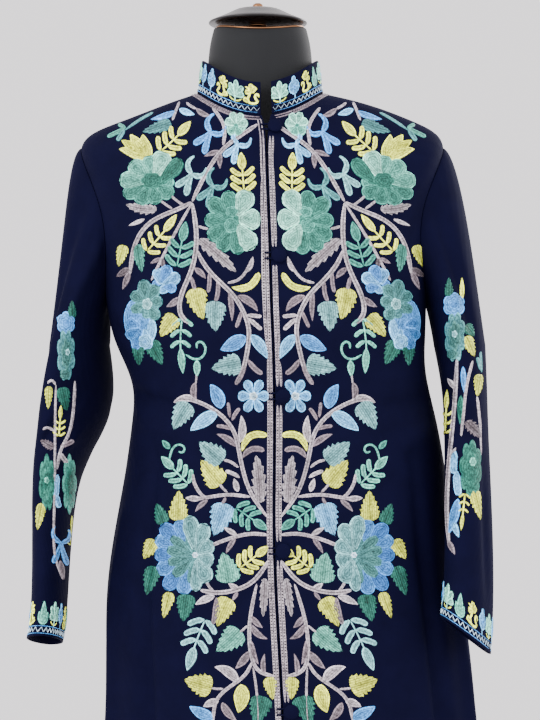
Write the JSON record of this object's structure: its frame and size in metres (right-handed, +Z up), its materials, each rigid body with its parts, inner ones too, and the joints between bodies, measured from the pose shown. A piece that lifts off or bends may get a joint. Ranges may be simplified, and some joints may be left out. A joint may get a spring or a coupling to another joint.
{
  "type": "embroidered long coat on a limbless dress form",
  "caption": "Long buttoned coat with a stand collar, set-in sleeves and embroidered fronts, on a limbless dress form with a pole and a round base.",
  "frame": {"origin": "middle of the round base's flat underside, on the pole's axis", "axes": "+Z up; the coat's front faces -Y; +X towards the wearer's left sleeve"},
  "size_m": [0.5239, 0.39, 1.5027],
  "materials": {
    "wool": "matte wool with chain-stitch embroidery",
    "form_cover": "matte black stretch cover",
    "lacquered_metal": "glossy dark grey metal",
    "brass": "polished",
    "steel": "polished"
  },
  "bodies": {
    "root": {"front_left": "wool", "front_right": "wool", "back": "wool", "sleeve_left": "wool", "sleeve_right": "wool", "collar": "wool", "button_1": "wool", "button_2": "wool", "button_3": "wool", "button_4": "wool", "button_5": "wool", "button_6": "wool", "button_7": "wool", "loop_1": "wool", "loop_2": "wool", "loop_3": "wool", "loop_4": "wool", "loop_5": "wool", "loop_6": "wool", "loop_7": "wool", "form_torso": "form_cover", "form_neck_plate": "brass", "form_cap_post": "brass", "form_cap": "lacquered_metal", "form_knob": "brass", "stand_pole": "steel", "stand_socket": "steel", "stand_base": "steel"}
  },
  "joints": []
}
